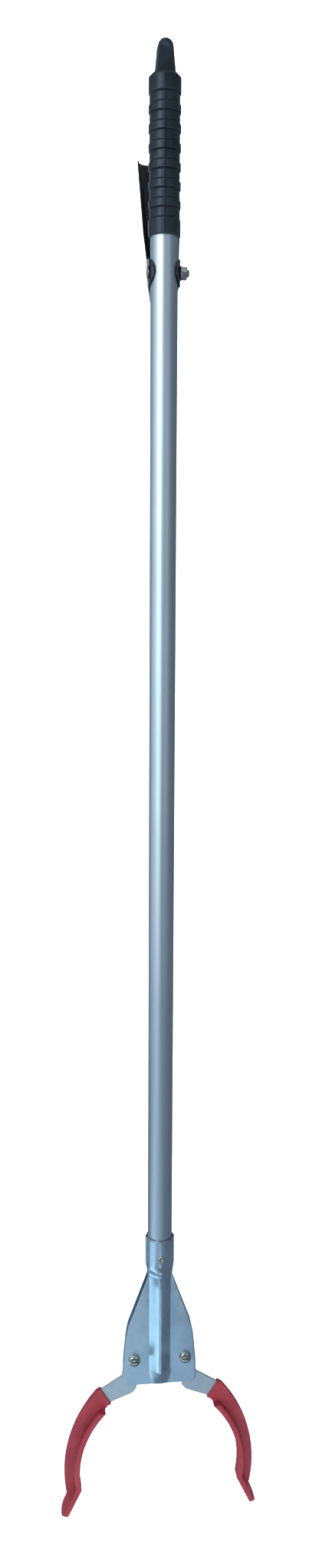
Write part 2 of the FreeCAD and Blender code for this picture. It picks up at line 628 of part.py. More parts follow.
def build():
    right_arm, right_cover = make_jaw(1)
    left_arm, left_cover = make_jaw(-1)
    front_plate = make_front_plate()
    parts = {
        "tube": make_tube(),
        "grip": make_grip(),
        "trigger_lever": make_lever(),
        "pivot_bolt": make_pivot_bolt(),
        "pivot_washer": make_pivot_washer(),
        "pivot_nut": make_pivot_nut(),
        "pull_rod": make_pull_rod(),
        "rod_guide": make_rod_guide(),
        "return_spring": make_return_spring(),
        "spring_washer": make_spring_washer(),
        "rod_clip": make_rod_clip(),
        "head_plate_front": front_plate,
        "head_plate_back": front_plate.mirror(V(0, 0, 0), Y_AXIS),
        "collar_rivets": Part.makeCompound([make_rivet(Y_AXIS * -1), make_rivet(Y_AXIS)]),
        "jaw_arm_left": left_arm,
        "jaw_arm_right": right_arm,
        "jaw_cover_left": left_cover,
        "jaw_cover_right": right_cover,
        "crossbar_front": make_crossbar_plate(-1),
        "crossbar_back": make_crossbar_plate(1),
        "crossbar_pin_left": make_pin(-PIN_X),
        "crossbar_pin_right": make_pin(PIN_X),
        "rod_pin": make_pin(0),
    }
    for name, x in (("left", -JAW_PIVOT_X), ("right", JAW_PIVOT_X)):
        parts["jaw_bush_" + name] = make_jaw_bush(x)
        parts["jaw_washers_" + name] = make_jaw_washers(x)
        parts["jaw_screw_" + name] = make_jaw_screw(x)
        parts["jaw_nut_" + name] = make_jaw_nut(x)
    return parts


os.makedirs("parts", exist_ok=True)
for node, shape in build().items():
    shape.exportStep("parts/" + node + ".step")
    print(node, "valid" if shape.isValid() else "INVALID", len(shape.Solids), round(shape.Volume, 1))
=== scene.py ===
import json
import math

import bmesh
import bpy
from mathutils import Matrix, Vector, noise


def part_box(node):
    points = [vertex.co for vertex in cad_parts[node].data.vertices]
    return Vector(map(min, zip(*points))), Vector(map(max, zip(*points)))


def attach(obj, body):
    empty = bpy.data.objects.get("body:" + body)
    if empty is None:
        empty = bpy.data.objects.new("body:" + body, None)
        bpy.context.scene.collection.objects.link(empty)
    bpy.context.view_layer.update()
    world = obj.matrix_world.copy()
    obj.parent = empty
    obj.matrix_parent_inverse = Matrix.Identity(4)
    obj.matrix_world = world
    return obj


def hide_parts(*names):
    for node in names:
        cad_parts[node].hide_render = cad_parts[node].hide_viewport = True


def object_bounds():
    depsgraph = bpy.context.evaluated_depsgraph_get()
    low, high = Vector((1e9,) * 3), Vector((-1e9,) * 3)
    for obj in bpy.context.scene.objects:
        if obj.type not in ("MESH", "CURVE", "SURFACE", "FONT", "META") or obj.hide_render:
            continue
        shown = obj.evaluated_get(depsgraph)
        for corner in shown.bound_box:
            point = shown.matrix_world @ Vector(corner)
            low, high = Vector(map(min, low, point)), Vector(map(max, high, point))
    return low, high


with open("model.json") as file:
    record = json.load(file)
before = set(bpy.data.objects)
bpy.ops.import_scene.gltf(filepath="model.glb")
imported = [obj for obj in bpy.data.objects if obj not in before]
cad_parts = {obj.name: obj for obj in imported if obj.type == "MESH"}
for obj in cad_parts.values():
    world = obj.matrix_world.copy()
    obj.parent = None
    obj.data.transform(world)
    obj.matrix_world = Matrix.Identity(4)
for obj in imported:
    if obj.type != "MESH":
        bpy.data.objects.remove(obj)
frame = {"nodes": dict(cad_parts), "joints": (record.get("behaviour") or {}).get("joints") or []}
cad_low, cad_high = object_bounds()
scene = bpy.context.scene
MM = 0.001
POLE_R = 0.02 * MM
BOLT_R = 2.5 * MM
THREAD_PITCH = 0.8 * MM
NUT_WIDTH = 8.0 * MM
NUT_BORE_R = 2.45 * MM
OVERLAP = 0.2 * MM

# ---------------------------------------------------------------- places taken from the frame
grip_low, grip_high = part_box("grip")
plate_low, plate_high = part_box("head_plate_front")
TUBE_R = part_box("tube")[1].x
GRIP_R = grip_high.x
GRIP_END = grip_low.z
GRIP_TOP = grip_high.z
COLLAR_TOP = plate_high.z
PLATE_BOTTOM = plate_low.z
JOINTS = {joint["name"]: joint for joint in frame["joints"]}
LEVER_PIVOT = Vector(JOINTS["lever_squeeze"]["pos_m"])
JAW_PIVOTS = {side: Vector(JOINTS[side + "_jaw_close"]["pos_m"]) for side in ("left", "right")}


# ---------------------------------------------------------------- mesh helpers
def mesh_object(name, vertices, faces, smooth=True):
    """A new mesh object at the origin, its vertices in the row frame."""
    mesh = bpy.data.meshes.new(name)
    mesh.from_pydata([tuple(v) for v in vertices], [], faces)
    mesh.validate()
    made = bpy.data.objects.new(name, mesh)
    scene.collection.objects.link(made)
    clean_normals(made)
    if smooth:
        shade(made, 32)
    return made


def clean_normals(made):
    """Merge doubled points and point every face outwards."""
    work = bmesh.new()
    work.from_mesh(made.data)
    bmesh.ops.remove_doubles(work, verts=work.verts, dist=1e-6)
    bmesh.ops.recalc_face_normals(work, faces=work.faces)
    work.to_mesh(made.data)
    work.free()


def shade(made, angle_deg):
    """Smooth faces, with edges sharper than the angle left crisp."""
    made.data.shade_smooth()
    made.data.set_sharp_from_angle(angle=math.radians(angle_deg))


def bake_modifiers(made):
    """Replace the object's mesh with its evaluated mesh."""
    graph = bpy.context.evaluated_depsgraph_get()
    finished = bpy.data.meshes.new_from_object(made.evaluated_get(graph))
    made.modifiers.clear()
    old = made.data
    made.data = finished
    bpy.data.meshes.remove(old)


def join_meshes(name, objects):
    """One object from several, in one mesh."""
    work = bmesh.new()
    for made in objects:
        work.from_mesh(made.data)
    mesh = bpy.data.meshes.new(name)
    work.to_mesh(mesh)
    work.free()
    for made in objects:
        bpy.data.objects.remove(made)
    joined = bpy.data.objects.new(name, mesh)
    scene.collection.objects.link(joined)
    return joined


def grid_faces(rows, columns, wrap):
    """Quads over a grid of points, closed round each row if wrap is set."""
    faces = []
    for i in range(rows - 1):
        for j in range(columns if wrap else columns - 1):
            k = (j + 1) % columns
            faces.append((i * columns + j, i * columns + k, (i + 1) * columns + k, (i + 1) * columns + j))
    return faces


def lathe(name, profile, origin, axis, radius_at=None, segments=72):
    """A turned piece: profile lists (radius, height) along the axis, and radius_at may change a radius."""
    turn = Vector(axis).to_track_quat("Z", "Y").to_matrix()
    vertices = []
    for radius, height in profile:
        for j in range(segments):
            angle = 2 * math.pi * j / segments
            r = radius_at(radius, height, angle) if radius_at else radius
            vertices.append(turn @ Vector((r * math.cos(angle), r * math.sin(angle), height)) + origin)
    faces = grid_faces(len(profile), segments, True)
    last = (len(profile) - 1) * segments
    faces.append(tuple(reversed(range(segments))))
    faces.append(tuple(range(last, last + segments)))
    return mesh_object(name, vertices, faces)


def rounded_profile(points, radius, steps=4):
    """Round the corners of a profile of (radius, height) points."""
    rounded = [points[0]]
    for before, corner, after in zip(points, points[1:], points[2:]):
        a = Vector(corner) - Vector(before)
        b = Vector(after) - Vector(corner)
        reach = min(radius, a.length * 0.45, b.length * 0.45)
        start = Vector(corner) - a.normalized() * reach
        end = Vector(corner) + b.normalized() * reach
        for i in range(steps + 1):
            t = i / steps
            rounded.append(tuple(start.lerp(Vector(corner), t).lerp(Vector(corner).lerp(end, t), t)))
    rounded.append(points[-1])
    return rounded


def threaded(name, radius, pitch, origin, axis, low, high):
    """A machine thread between two heights on an axis, chamfered at its high end."""
    steps = int((high - low) / pitch * 6)
    depth = 0.28 * pitch

    def thread(r, height, angle):
        phase = (height / pitch - angle / (2 * math.pi)) % 1.0
        cut = depth * (1 - abs(2 * phase - 1))
        ease = min(1.0, (high - height) / pitch)
        return r - cut - (1 - ease) * 0.35 * pitch

    profile = [(radius, low + (high - low) * i / steps) for i in range(steps + 1)]
    return lathe(name, profile, origin, axis, thread, 36)


def hex_nut(name, height, origin, axis, spin):
    """A hexagonal nut with both faces chamfered, standing on its origin."""
    corner = NUT_WIDTH / math.sqrt(3)
    chamfer_r = NUT_WIDTH * 0.47
    mouth_r = NUT_BORE_R * 1.12
    mouth_depth = NUT_BORE_R * 0.12

    def hexagon(r, level, angle):
        if r <= NUT_BORE_R * 1.15:
            return r
        sector = (angle + spin) % (math.pi / 3) - math.pi / 6
        flat = NUT_WIDTH / 2 / math.cos(sector)
        inset = min(level, height - level)
        return min(flat, r, NUT_WIDTH / 2 * 0.98 + inset * 1.7)

    profile = [(mouth_r, 0.0), (chamfer_r, 0.0)]
    for level in (0.0, 0.1, 0.22, 0.4, 0.6, 0.78, 0.9, 1.0):
        profile.append((corner, level * height))
    profile += [(chamfer_r, height), (mouth_r, height), (NUT_BORE_R, height - mouth_depth)]
    profile += [(NUT_BORE_R, mouth_depth), (mouth_r, 0.0)]
    return lathe(name, profile, origin, axis, hexagon, 120)


def cross_cutter(depth, width, face, inward):
    """A tapered cross that cuts a driver recess."""
    side = Vector((1, 0, 0))
    up = Vector((0, 0, 1))
    arms = []
    for long_way, short_way in ((side, up), (up, side)):
        corners = []
        for level, scale in ((-0.4 * depth, 1.12), (depth, 0.42)):
            for a, b in ((-1, -1), (1, -1), (1, 1), (-1, 1)):
                across = long_way * (a * width / 2 * scale) + short_way * (b * width * 0.115)
                corners.append(face + across + inward * level)
        faces = [(0, 1, 2, 3), (7, 6, 5, 4), (0, 4, 5, 1), (1, 5, 6, 2), (2, 6, 7, 3), (3, 7, 4, 0)]
        arms.append(mesh_object("cutter", corners, faces, False))
    return arms


def cut_with(made, cutters):
    """Subtract each cutter and remove it."""
    for cutter in cutters:
        step = made.modifiers.new("cut", "BOOLEAN")
        step.operation = "DIFFERENCE"
        step.solver = "EXACT"
        step.object = cutter
    bake_modifiers(made)
    for cutter in cutters:
        bpy.data.objects.remove(cutter)


def place(made, body, material, slot_name, *nodes):
    """Give a piece its finish and its body, and hide the CAD nodes it stands for."""
    made.data.materials.clear()
    made.data.materials.append(material)
    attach(made, body)
    if nodes:
        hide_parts(*nodes)


# ---------------------------------------------------------------- material helpers
class Finish:
    """A material under construction: a Principled shader and the nodes that feed it."""

    def __init__(self, name, **values):
        self.material = bpy.data.materials.new(name)
        self.material.use_nodes = True
        self.nodes = self.material.node_tree.nodes
        self.links = self.material.node_tree.links
        self.shader = self.nodes["Principled BSDF"]
        for socket, value in values.items():
            self.shader.inputs[socket.replace("_", " ")].default_value = value
        self.place = self.nodes.new("ShaderNodeTexCoord").outputs["Object"]

    def node(self, kind, inputs=None, **settings):
        """Add a node, setting or linking its inputs."""
        made = self.nodes.new(kind)
        for key, value in settings.items():
            setattr(made, key, value)
        for key, value in (inputs or {}).items():
            if isinstance(value, bpy.types.NodeSocket):
                self.links.new(value, made.inputs[key])
            else:
                made.inputs[key].default_value = value
        return made

    def stretched(self, scale):
        """Object coordinates scaled by a different amount along each axis."""
        return self.node("ShaderNodeMapping", {"Vector": self.place, "Scale": scale}).outputs["Vector"]

    def noise(self, scale, detail=3.0, roughness=0.55, vector=None):
        """A noise texture."""
        inputs = {"Vector": vector or self.place, "Scale": scale, "Detail": detail, "Roughness": roughness}
        return self.node("ShaderNodeTexNoise", inputs).outputs["Fac"]

    def ramp(self, factor, stops):
        """Colours along a factor."""
        made = self.node("ShaderNodeValToRGB", {"Fac": factor})
        band = made.color_ramp
        while len(band.elements) < len(stops):
            band.elements.new(0.5)
        for element, (position, colour) in zip(band.elements, stops):
            element.position = position
            element.color = colour if len(colour) == 4 else (*colour, 1.0)
        return made.outputs["Color"]

    def spread(self, factor, low, high, start=0.3, end=0.7):
        """Map a texture's middle range onto a pair of values."""
        inputs = {"Value": factor, "From Min": start, "From Max": end, "To Min": low, "To Max": high}
        return self.node("ShaderNodeMapRange", inputs).outputs["Result"]

    def mix(self, factor, first, second):
        """Blend two colours."""
        made = self.node("ShaderNodeMix", data_type="RGBA")
        for socket, value in zip((made.inputs[0], made.inputs[6], made.inputs[7]), (factor, first, second)):
            if isinstance(value, bpy.types.NodeSocket):
                self.links.new(value, socket)
            else:
                socket.default_value = value
        return made.outputs[2]

    def edges(self, low, high):
        """A mask of convex edges, or of hollows if the range falls."""
        pointed = self.node("ShaderNodeNewGeometry").outputs["Pointiness"]
        return self.spread(pointed, 0.0, 1.0, low, high)

    def times(self, first, second):
        """Multiply two values."""
        return self.node("ShaderNodeMath", {0: first, 1: second}, operation="MULTIPLY").outputs[0]

    def bump(self, height, strength, distance, under=None):
        """A bumped normal, over another one if given."""
        inputs = {"Height": height, "Strength": strength, "Distance": distance}
        if under is not None:
            inputs["Normal"] = under
        return self.node("ShaderNodeBump", inputs).outputs["Normal"]

    def feed(self, socket, output):
        """Link an output to the shader."""
        self.links.new(output, self.shader.inputs[socket])


def tube_finish():
    """Satin drawn aluminium: fine lines along the tube, cloudy anodising and a few rubbed marks."""
    f = Finish("tube_aluminium", Metallic=1.0)
    lines = f.noise(1.0, 4.0, 0.6, f.stretched((2600.0, 2600.0, 9.0)))
    clouds = f.noise(14.0, 3.0)
    rubs = f.spread(f.noise(1.0, 5.0, 0.7, f.stretched((160.0, 160.0, 34.0))), 0.0, 1.0, 0.66, 0.76)
    base = f.ramp(clouds, [(0.3, (0.66, 0.72, 0.76)), (0.7, (0.72, 0.77, 0.81))])
    lined = f.mix(f.times(lines, 0.35), base, (0.53, 0.585, 0.635, 1))
    f.feed("Base Color", f.mix(f.times(rubs, 0.35), lined, (0.42, 0.45, 0.48, 1)))
    terms = {0: f.spread(lines, 0.42, 0.50), 1: f.times(rubs, 0.14)}
    rough = f.node("ShaderNodeMath", terms, operation="ADD")
    f.feed("Roughness", rough.outputs[0])
    f.feed("Normal", f.bump(lines, 0.10, 0.00006))
    return f.material


def zinc_finish(name, tone, clean):
    """Zinc-plated pressed steel: mottled blue-white plating, rolling grain, scuffs and brighter edges."""
    f = Finish(name, Metallic=1.0)
    patches = f.noise(55.0, 5.0, 0.62)
    grain = f.noise(900.0, 4.0, 0.65)
    rolled = f.noise(1.0, 3.0, 0.6, f.stretched((1400.0, 1400.0, 60.0)))
    deep = tuple(c * 0.80 for c in tone)
    pale = tuple(min(1.0, c * 1.10) for c in tone)
    base = f.ramp(patches, [(0.28, deep), (0.5, tone), (0.74, pale)])
    mottled = f.mix(f.spread(grain, 0.0, 0.35), base, (*[c * 0.72 for c in tone], 1))
    scuffs = f.spread(f.noise(1.0, 6.0, 0.7, f.stretched((300.0, 300.0, 70.0))), 0.0, 1.0, 0.64, 0.72)
    scuffed = f.mix(f.times(scuffs, 0.3), mottled, (*[c * 0.55 for c in tone], 1))
    worn = f.times(f.edges(0.52, 0.60), 0.6)
    f.feed("Base Color", f.mix(worn, scuffed, (0.88, 0.91, 0.94, 1)))
    f.feed("Roughness", f.spread(patches, clean, clean + 0.16))
    fine = f.bump(grain, 0.22, 0.00012)
    f.feed("Normal", f.bump(rolled, 0.10, 0.0001, fine))
    return f.material


def rubber_finish():
    """Moulded black rubber with a fine matt texture, a waxy bloom and rubbed ribs."""
    f = Finish("grip_rubber", Sheen_Weight=0.03, Sheen_Roughness=0.5)
    # painted reflection colour: a bluish specular tint on the black rubber, standing in for the blue of the
    # light in its highlights
    f.shader.inputs["Specular Tint"].default_value = (0.72, 0.87, 1.0, 1)
    bloom = f.noise(60.0, 4.0, 0.6)
    grain = f.noise(1700.0, 3.0, 0.6)
    base = f.ramp(bloom, [(0.3, (0.0025, 0.0035, 0.006)), (0.7, (0.006, 0.008, 0.013))])
    rubbed = f.times(f.edges(0.51, 0.57), 0.5)
    dust = f.times(f.spread(f.noise(420.0, 5.0, 0.75), 0.0, 1.0, 0.6, 0.8), 0.22)
    f.feed("Base Color", f.mix(dust, f.mix(rubbed, base, (0.03, 0.035, 0.045, 1)), (0.05, 0.06, 0.08, 1)))
    f.feed("Roughness", f.spread(bloom, 0.34, 0.46))
    swell = f.bump(f.noise(240.0, 2.0), 0.12, 0.0003)
    f.feed("Normal", f.bump(grain, 0.30, 0.0001, swell))
    return f.material


def paint_finish():
    """Gloss black paint on pressed steel, slightly orange-peeled, worn to bright metal along edges."""
    f = Finish("lever_paint", Coat_Weight=0.4, Coat_Roughness=0.08)
    chips = f.spread(f.noise(700.0, 6.0, 0.75), 0.0, 1.0, 0.52, 0.60)
    wear = f.times(f.edges(0.56, 0.66), chips)
    fog = f.noise(45.0, 4.0)
    base = f.ramp(fog, [(0.3, (0.0045, 0.0045, 0.0055)), (0.7, (0.010, 0.010, 0.012))])
    f.feed("Base Color", f.mix(wear, base, (0.36, 0.34, 0.32, 1)))
    f.feed("Metallic", f.times(wear, 0.9))
    f.feed("Roughness", f.spread(fog, 0.16, 0.30))
    f.feed("Normal", f.bump(f.noise(520.0, 2.0), 0.10, 0.00012))
    return f.material


def cover_finish():
    """Dipped red rubber: even and softly glossy, with painted shade in hollows and along edges, and with
    dust and nicks.
    """
    f = Finish("cover_rubber", Subsurface_Weight=0.04)
    f.shader.inputs["Subsurface Radius"].default_value = (0.0015, 0.0004, 0.0004)
    clouds = f.noise(70.0, 4.0)
    specks = f.noise(1500.0, 3.0, 0.7)
    base = f.ramp(clouds, [(0.3, (0.20, 0.010, 0.020)), (0.7, (0.26, 0.016, 0.030))])
    # painted shade: convex edges darkened, standing in for the dark outlines where the edges turn from the
    # light
    painted_edge_shade = f.times(f.edges(0.515, 0.56), 0.55)
    # painted shade: hollows and concave corners darkened, like ambient occlusion
    painted_hollow_shade = f.times(f.edges(0.49, 0.44), 0.7)
    painted_shade_base = f.mix(painted_hollow_shade, f.mix(painted_edge_shade, base, (0.13, 0.008, 0.018, 1)), (0.06, 0.004, 0.008, 1))
    dusty = f.times(f.spread(specks, 0.0, 1.0, 0.58, 0.72), 0.16)
    f.feed("Base Color", f.mix(dusty, painted_shade_base, (0.36, 0.10, 0.13, 1)))
    f.feed("Roughness", f.spread(clouds, 0.34, 0.50))
    waves = f.bump(f.noise(160.0, 2.0), 0.25, 0.0004)
    f.feed("Normal", f.bump(specks, 0.16, 0.00008, waves))
    return f.material


def bright_finish(name, tone, roughness):
    """Bright plated steel with turning marks and faint tarnish."""
    f = Finish(name, Metallic=1.0)
    tarnish = f.noise(260.0, 5.0, 0.65)
    marks = f.noise(2400.0, 3.0, 0.6)
    dim = tuple(c * 0.62 for c in tone)
    base = f.ramp(tarnish, [(0.32, dim), (0.6, tone)])
    bright = f.times(f.edges(0.53, 0.62), 0.5)
    f.feed("Base Color", f.mix(bright, base, (0.93, 0.92, 0.88, 1)))
    f.feed("Roughness", f.spread(tarnish, roughness + 0.14, roughness))
    f.feed("Normal", f.bump(marks, 0.12, 0.00005))
    return f.material


def plastic_finish():
    """Natural white plastic with a faint mould texture."""
    f = Finish("guide_plastic", Subsurface_Weight=0.08)
    f.shader.inputs["Subsurface Radius"].default_value = (0.002, 0.002, 0.002)
    clouds = f.noise(90.0, 3.0)
    f.feed("Base Color", f.ramp(clouds, [(0.3, (0.70, 0.69, 0.64)), (0.7, (0.80, 0.79, 0.74))]))
    f.feed("Roughness", f.spread(clouds, 0.38, 0.52))
    f.feed("Normal", f.bump(f.noise(1300.0, 2.0), 0.1, 0.0001))
    return f.material


def floor_finish():
    """Plain pale studio paper with a barely visible tooth."""
    f = Finish("studio_paper", Roughness=0.9, Emission_Strength=0.85)
    f.shader.inputs["Emission Color"].default_value = (1.0, 1.0, 1.0, 1)
    tooth = f.noise(40.0, 3.0)
    f.feed("Base Color", f.ramp(tooth, [(0.3, (0.93, 0.93, 0.935)), (0.7, (0.95, 0.95, 0.955))]))
    f.feed("Normal", f.bump(tooth, 0.02, 0.001))
    outside = f.node("ShaderNodeNewGeometry").outputs["Backfacing"]
    clear = f.node("ShaderNodeBsdfTransparent").outputs["BSDF"]
    one_sided = f.node("ShaderNodeMixShader", {0: outside, 1: f.shader.outputs["BSDF"], 2: clear})
    f.links.new(one_sided.outputs["Shader"], f.nodes["Material Output"].inputs["Surface"])
    f.material.cycles.emission_sampling = "NONE"
    return f.material


TUBE = tube_finish()
RUBBER = rubber_finish()
PAINT = paint_finish()
COVER = cover_finish()
PLATE = zinc_finish("plate_zinc", (0.68, 0.82, 0.92), 0.29)
JAW = zinc_finish("jaw_zinc", (0.95, 0.97, 0.98), 0.42)
SCREW = bright_finish("screw_steel", (0.66, 0.63, 0.54), 0.16)
FASTENER = bright_finish("fastener_steel", (0.58, 0.57, 0.54), 0.20)
ROD = bright_finish("rod_steel", (0.50, 0.51, 0.52), 0.28)
SPRING = bright_finish("spring_steel", (0.36, 0.37, 0.38), 0.30)
RIVET = bright_finish("rivet_aluminium", (0.70, 0.70, 0.66), 0.20)
PLASTIC = plastic_finish()


# ---------------------------------------------------------------- CAD nodes that stay
def dress(node, material, bevel):
    """Give a CAD node its finish and, where it has crisp edges, a fine rounding that keeps its size."""
    made = frame["nodes"][node]
    made.data.materials.clear()
    made.data.materials.append(material)
    weld = made.modifiers.new("weld", "WELD")
    weld.merge_threshold = 1e-6
    if bevel:
        soften = made.modifiers.new("soften", "BEVEL")
        soften.width = bevel
        soften.segments = 2
        soften.limit_method = "ANGLE"
        soften.angle_limit = math.radians(50)
    smooth = made.modifiers.new("normals", "WEIGHTED_NORMAL")
    smooth.keep_sharp = True


KEPT = {
    "tube": (TUBE, 0.0),
    "trigger_lever": (PAINT, 0.18 * MM),
    "pull_rod": (ROD, 0.0),
    "rod_guide": (PLASTIC, 0.3 * MM),
    "return_spring": (SPRING, 0.0),
    "spring_washer": (ROD, 0.1 * MM),
    "rod_clip": (SPRING, 0.1 * MM),
    "jaw_arm_left": (JAW, 0.2 * MM),
    "jaw_arm_right": (JAW, 0.2 * MM),
    "crossbar_front": (PLATE, 0.15 * MM),
    "crossbar_back": (PLATE, 0.15 * MM),
    "crossbar_pin_left": (ROD, 0.1 * MM),
    "crossbar_pin_right": (ROD, 0.1 * MM),
    "rod_pin": (ROD, 0.1 * MM),
    "jaw_bush_left": (ROD, 0.1 * MM),
    "jaw_bush_right": (ROD, 0.1 * MM),
    "jaw_washers_left": (ROD, 0.1 * MM),
    "jaw_washers_right": (ROD, 0.1 * MM),
    "pivot_washer": (FASTENER, 0.08 * MM),
}
for node_name, (finish, rounding) in KEPT.items():
    dress(node_name, finish, rounding)


# ---------------------------------------------------------------- grip
GROOVE_COUNT = 7
GROOVE_TOP = -26.3 * MM
GROOVE_HEIGHT = 6.4 * MM
GROOVE_PITCH = 12.05 * MM
GROOVE_DEPTH = 0.75 * MM
GROOVE_CROWN = 0.1 * MM
NICK = 0.55 * MM
SEAM_ANGLE = 0.14
SEAM_HALF_WIDTH = 0.35 * MM
SEAM_HEIGHT = 0.10 * MM
GRIP_SHOULDER = -13.5 * MM
SHOULDER_CHAMFER = 2.5 * MM
TAB_BASE_HALF = 7.0 * MM
TAB_TOP_HALF = 5.3 * MM
TAB_HALF_DEPTH = 5.0 * MM
TAB_ROOT = 1.5 * MM
TAB_FLARE = 0.5 * MM
TAB_FLARE_HEIGHT = 3.4 * MM
TAB_RIM = 1.5 * MM
HANG_HOLE_R = 2.75 * MM
HANG_HOLE_FLARE = 0.8 * MM


def grip_sleeve():
    """Ribbed sleeve: rounded ribs, a chamfered shoulder, a rolled lower rim and a moulding seam."""
    r = GRIP_R
    lip = 0.9 * MM
    points = [(TUBE_R - 0.02 * MM, GRIP_END + 1.2 * MM), (TUBE_R + 0.2 * MM, GRIP_END)]
    points += [(r - 0.3 * MM, GRIP_END), (r, GRIP_END + lip)]
    for index in reversed(range(GROOVE_COUNT)):
        top = GROOVE_TOP - index * GROOVE_PITCH
        low = top - GROOVE_HEIGHT
        floor = r - GROOVE_DEPTH
        points += [(r, low - NICK), (floor - NICK, low), (floor, low + NICK)]
        points += [(floor + GROOVE_CROWN, low + GROOVE_HEIGHT / 2), (floor, top - NICK)]
        points += [(floor - NICK, top), (r, top + NICK)]
    points += [(r, GRIP_SHOULDER - SHOULDER_CHAMFER), (r - SHOULDER_CHAMFER, GRIP_SHOULDER)]
    points.append((0.2 * MM, GRIP_SHOULDER + 0.2 * MM))
    profile = rounded_profile(points, 0.22 * MM, 2)
    filled = [profile[0]]
    for after in profile[1:]:
        before = filled[-1]
        steps = max(1, int(abs(after[1] - before[1]) / (1.0 * MM)))
        for i in range(1, steps + 1):
            t = i / steps
            filled.append((before[0] + (after[0] - before[0]) * t, before[1] + (after[1] - before[1]) * t))

    def seam(radius, height, angle):
        if radius < TUBE_R + 0.3 * MM:
            return radius
        ridge = 0.0
        for line in (-math.pi / 2 - SEAM_ANGLE, math.pi / 2 - SEAM_ANGLE):
            away = abs((angle - line + math.pi) % (2 * math.pi) - math.pi) * radius
            ridge = max(ridge, 1 - away / SEAM_HALF_WIDTH)
        drift = noise.noise(Vector((math.cos(angle) * 2.0, math.sin(angle) * 2.0, height * 90)))
        return min(radius + SEAM_HEIGHT * ridge + 0.05 * MM * drift - 0.06 * MM, GRIP_R)

    return lathe("grip_sleeve", filled, Vector((0, 0, 0)), (0, 0, 1), seam, 240)


def grip_tab():
    """Tapered tongue with a domed top and soft edges, drilled across for hanging."""
    low = GRIP_SHOULDER - TAB_ROOT
    arc_z = GRIP_TOP - TAB_TOP_HALF
    side = []
    for i in range(13):
        t = i / 12
        flare = max(0.0, 1 - t * (arc_z - low) / TAB_FLARE_HEIGHT) ** 2 * TAB_FLARE
        half = TAB_BASE_HALF + (TAB_TOP_HALF - TAB_BASE_HALF) * t + flare
        side.append((half, low + (arc_z - low) * t))
    arc = [math.pi * i / 28 for i in range(1, 28)]
    outline = side + [(TAB_TOP_HALF * math.cos(a), arc_z + TAB_TOP_HALF * math.sin(a)) for a in arc]
    outline += [(-x, z) for x, z in reversed(side)]
    count = len(outline)
    vertices = [(x, y, z) for y in (-TAB_HALF_DEPTH, TAB_HALF_DEPTH) for x, z in outline]
    faces = [tuple(range(count)), tuple(reversed(range(count, 2 * count)))]
    faces += [(i, i + count, (i + 1) % count + count, (i + 1) % count) for i in range(count)]
    tab = mesh_object("grip_tab", vertices, faces)
    rim = tab.modifiers.new("rim", "BEVEL")
    rim.width = TAB_RIM
    rim.segments = 5
    rim.limit_method = "ANGLE"
    rim.angle_limit = math.radians(60)
    bake_modifiers(tab)
    wide = HANG_HOLE_R + HANG_HOLE_FLARE
    bar = [(wide, -9 * MM), (wide, -6.6 * MM), (HANG_HOLE_R, -5.2 * MM)]
    bar += [(radius, -height) for radius, height in reversed(bar)]
    cutter = lathe("cutter", bar, Vector((0, 0, 0)), (1, 0, 0), None, 48)
    cut_with(tab, [cutter])
    shade(tab, 25)
    return tab


sleeve = grip_sleeve()
tab = grip_tab()
place(sleeve, "frame", RUBBER, "grip_rubber", "grip")
place(tab, "frame", RUBBER, "grip_rubber")


# ---------------------------------------------------------------- lever's bolt and nut
BOLT_HEAD_R = 4.5 * MM
BOLT_HEAD_HEIGHT = 1.3 * MM


def make_pivot_fasteners():
    """Low domed bolt head on the left, and a chamfered nut with the bolt's thread on the right."""
    bolt_low, bolt_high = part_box("pivot_bolt")
    nut_low, nut_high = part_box("pivot_nut")
    centre = Vector((0, 0, LEVER_PIVOT.z))
    seat = bolt_low.x + BOLT_HEAD_HEIGHT
    thread_start = 9.0 * MM
    dome = [(POLE_R, seat - BOLT_HEAD_HEIGHT), (1.6 * MM, seat - 1.24 * MM), (3.2 * MM, seat - 0.95 * MM)]
    dome += [(4.2 * MM, seat - 0.55 * MM), (BOLT_HEAD_R, seat - 0.25 * MM), (BOLT_HEAD_R, seat)]
    dome += [(BOLT_R, seat), (BOLT_R, thread_start)]
    shank = lathe("shank", rounded_profile(dome, 0.2 * MM), centre, (1, 0, 0), None, 64)
    root = thread_start - OVERLAP
    thread = threaded("thread", BOLT_R, THREAD_PITCH, centre, (1, 0, 0), root, bolt_high.x)
    bolt = join_meshes("lever_bolt", [shank, thread])
    shade(bolt, 35)
    place(bolt, "frame", FASTENER, "fastener_steel", "pivot_bolt")
    start = Vector((nut_low.x, 0, LEVER_PIVOT.z))
    nut = hex_nut("lever_nut", nut_high.x - nut_low.x, start, (1, 0, 0), 0.0)
    place(nut, "frame", FASTENER, "fastener_steel", "pivot_nut")


make_pivot_fasteners()


# ---------------------------------------------------------------- head plates
SHEET = 1.0 * MM
FLAT_Y = 3.9 * MM
LIP_Y = 1.15 * MM
CORNER_R = 5.0 * MM
COLLAR_R = 10.7 * MM
COLLAR_END = -880.0 * MM
WAIST = -890.0 * MM
RIDGE_START = -900.0 * MM
RIDGE_END = -972.0 * MM
CORNER_START = PLATE_BOTTOM + CORNER_R
CALM_START = -884.0 * MM
CALM_LENGTH = 12.0 * MM
WING_SETBACK = 0.30 * MM
WAVE_HEIGHT = 0.15 * MM
DISH_DEPTH = 0.30 * MM
DISH_R = 7.0 * MM
RIDGE_FOOT = 8.4 * MM
FOOT_FADE = 4.0 * MM
# (height, half-width) in millimetres
OUTLINE = (
    (-881, 11.4),
    (-888.5, 9.7),
    (-892, 10.0),
    (-933.5, 25.2),
    (-943, 27.0),
    (-967, 29.2),
    (-981, 29.2),
)


def eased(value, stops):
    """Smooth interpolation through (position, value) stops, positions falling."""
    if value >= stops[0][0]:
        return stops[0][1]
    for (z0, v0), (z1, v1) in zip(stops, stops[1:]):
        if value >= z1:
            t = (z0 - value) / (z0 - z1)
            return v0 + (v1 - v0) * t * t * (3 - 2 * t)
    return stops[-1][1]


